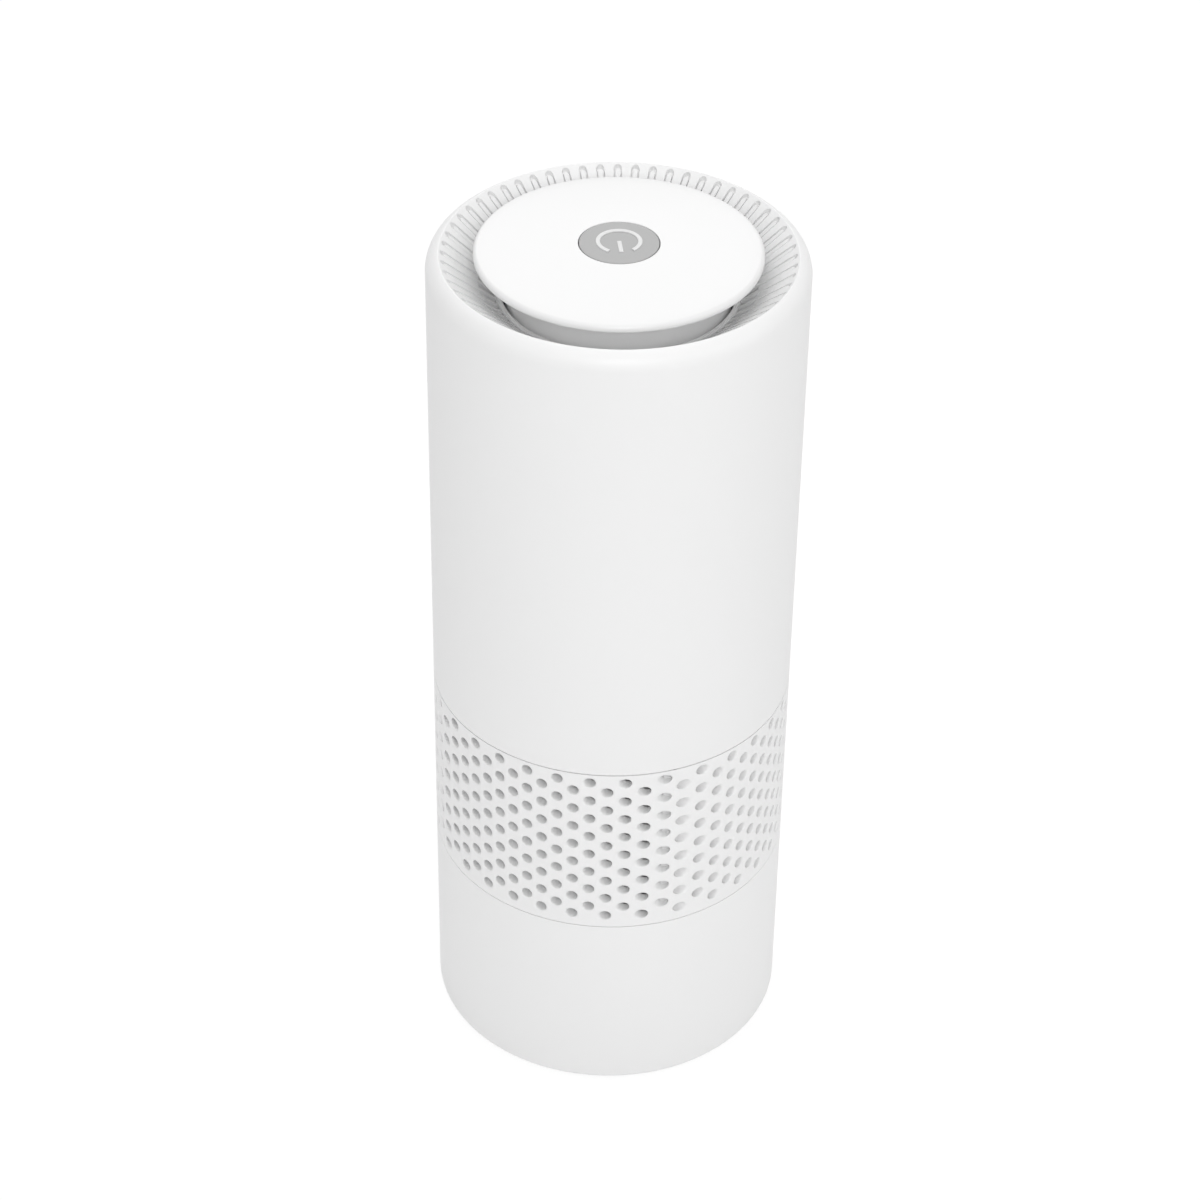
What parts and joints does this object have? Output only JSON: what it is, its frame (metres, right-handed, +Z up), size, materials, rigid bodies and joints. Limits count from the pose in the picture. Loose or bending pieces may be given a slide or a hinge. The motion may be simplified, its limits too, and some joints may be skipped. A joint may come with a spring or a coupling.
{
  "type": "air purifier",
  "caption": "Portable cylindrical air purifier with a perforated inlet band, pleated filter, centrifugal fan and a slotted outlet ring round its top cap.",
  "frame": {"origin": "centre of the resting face, on the surface that the purifier stands on", "axes": "+Z up along the body's axis; -Y is the front, where the bar of the power symbol points; +Y is the rear, with the charging socket; +X is the viewer's right from the front"},
  "size_m": [0.067, 0.067, 0.1683],
  "materials": {
    "shell": "satin white moulded plastic with a fine texture",
    "cap_gloss": "smooth, slightly glossy white moulded plastic",
    "button_grey": "satin mid-grey moulded plastic",
    "icon_light": "satin light-grey insert",
    "light_ring": "frosted grey diffuser plastic",
    "foot": "matt grey rubber",
    "inner_plastic": "plain off-white moulded plastic",
    "impeller_plastic": "off-white glass-filled plastic",
    "filter_cap": "white moulded plastic end cap",
    "core_plastic": "dark grey moulded lattice holding carbon",
    "filter_paper": "white pleated filter paper",
    "sleeve_mesh": "fine white non-woven mesh",
    "seal_foam": "soft dark foam gasket",
    "circuit_board": "green solder mask over glass laminate",
    "component_black": "black moulded component bodies",
    "led_lens": "yellowish light-emitting diode packages",
    "socket_metal": "nickel-plated stamped steel",
    "screw_steel": "zinc-plated steel",
    "motor_steel": "electrical steel",
    "magnet": "bonded ferrite",
    "bearing_bronze": "sintered bronze",
    "copper_wire": "enamelled copper winding",
    "lead_black": "black insulated lead",
    "lead_red": "red insulated lead"
  },
  "bodies": {
    "base": {"base_cup": "shell", "foot_ring": "foot"},
    "filter_tray": {"filter_tray": "inner_plastic"},
    "filter": {"filter_bottom_cap": "filter_cap", "filter_core": "core_plastic", "pleated_media": "filter_paper", "filter_sleeve": "sleeve_mesh", "filter_top_cap": "filter_cap", "filter_seal": "seal_foam"},
    "impeller": {"impeller": "impeller_plastic", "rotor_ring": "motor_steel", "magnet_ring": "magnet", "motor_shaft": "screw_steel", "shaft_clip": "motor_steel"},
    "button": {"power_button": "button_grey", "power_icon": "icon_light", "switch_plunger": "component_black"},
    "housing": {"inlet_band": "shell", "bulkhead": "inner_plastic", "main_board": "circuit_board", "board_components": "component_black", "usb_socket": "socket_metal", "board_screws": "screw_steel", "bay_cover": "inner_plastic", "fan_frame": "inner_plastic", "fan_screws": "screw_steel", "sleeve_bearing": "bearing_bronze", "stator_core": "motor_steel", "stator_coils": "copper_wire", "motor_lead": "lead_black", "upper_housing": "shell", "flow_cone": "inner_plastic", "outlet_grille": "shell", "light_ring": "light_ring", "control_board": "circuit_board", "led_chips": "led_lens", "tact_switch": "component_black", "power_lead": "lead_red", "cap_screws": "screw_steel", "top_disc": "cap_gloss"}
  },
  "joints": [
    {"name": "base_twist", "type": "hinge", "parent": "base", "child": "filter_tray", "pos_m": [0, 0, 0], "axis": [0, 0, 1], "range_deg": [-22, 0]},
    {"name": "filter_lift", "type": "slide", "parent": "filter_tray", "child": "filter", "axis": [0, 0, 1], "range_m": [0, 0.06]},
    {"name": "housing_lift", "type": "slide", "parent": "filter", "child": "housing", "axis": [0, 0, 1], "range_m": [0, 0.08]},
    {"name": "impeller_spin", "type": "hinge", "parent": "housing", "child": "impeller", "pos_m": [0, 0, 0.11], "axis": [0, 0, 1], "continuous": true},
    {"name": "power_button_press", "type": "slide", "parent": "housing", "child": "button", "axis": [0, 0, -1], "range_m": [0, 0.0005], "stiffness_N_per_m": 3000, "springref_m": -0.0002}
  ]
}
